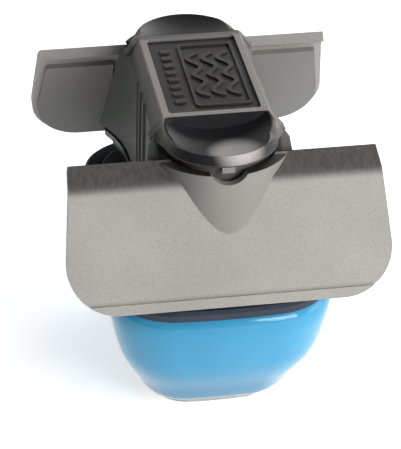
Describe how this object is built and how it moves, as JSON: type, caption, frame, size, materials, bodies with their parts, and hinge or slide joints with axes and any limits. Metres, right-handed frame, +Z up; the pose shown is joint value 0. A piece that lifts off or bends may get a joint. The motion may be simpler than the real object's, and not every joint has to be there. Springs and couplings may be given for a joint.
{
  "type": "magnetic glass cleaner",
  "caption": "Two-piece magnetic aquarium glass cleaner: waisted grip with hinged blade carriers on top of a dome-shaped dry-side handle, felt faces together.",
  "frame": {"origin": "on the resting surface, under the centre of the dry half's end cap", "axes": "+Z up through both halves, +X along the blades, -Y towards the front blade carrier"},
  "size_m": [0.0512, 0.0634, 0.0535],
  "materials": {
    "blue_shell": "glossy light blue moulded handle",
    "grey_cap": "light grey moulded end cap",
    "black_plastic": "black moulded housing",
    "seal_rubber": "black sealing rubber",
    "ring_rubber": "dark navy soft ring",
    "felt": "dark short-fibre felt",
    "magnet_nickel": "nickel-plated magnet",
    "yoke_steel": "zinc-plated steel",
    "stainless": "stainless steel",
    "grey_grip": "fine-grained dark grey moulding",
    "grey_panel": "dark grey panel with raised relief",
    "grey_carrier": "fine-grained warm grey moulding",
    "dark_clamp": "grey clamp plate"
  },
  "bodies": {
    "dry_half": {"dry_handle_shell": "blue_shell", "dry_end_cap": "grey_cap", "dry_base_plate": "black_plastic", "dry_seal": "seal_rubber", "dry_rim_ring": "ring_rubber", "dry_felt_pad": "felt", "dry_magnets": "magnet_nickel", "dry_steel_yoke": "yoke_steel", "dry_screws": "stainless"},
    "wet_half": {"wet_felt_pad": "felt", "wet_base_housing": "black_plastic", "wet_seal": "seal_rubber", "wet_grip_shell": "grey_grip", "top_panel": "grey_panel", "wet_magnets": "magnet_nickel", "wet_steel_yoke": "yoke_steel", "wet_housing_screws": "stainless", "front_hinge_pin": "stainless", "rear_hinge_pin": "stainless"},
    "rear_carrier": {"rear_blade_carrier": "grey_carrier", "rear_blade": "stainless", "rear_blade_clamp": "dark_clamp"},
    "front_carrier": {"front_blade_carrier": "grey_carrier", "front_blade": "stainless", "front_blade_clamp": "dark_clamp"}
  },
  "joints": [
    {"name": "wet_lift", "type": "slide", "parent": "dry_half", "child": "wet_half", "axis": [0, 0, 1], "range_m": [0, 0.03]},
    {"name": "rear_swing", "type": "hinge", "parent": "wet_half", "child": "rear_carrier", "pos_m": [0, 0.0209, 0.0448], "axis": [1, 0, 0], "range_deg": [0, 8]},
    {"name": "front_swing", "type": "hinge", "parent": "wet_half", "child": "front_carrier", "pos_m": [0, -0.0209, 0.0448], "axis": [-1, 0, 0], "range_deg": [0, 8]}
  ]
}
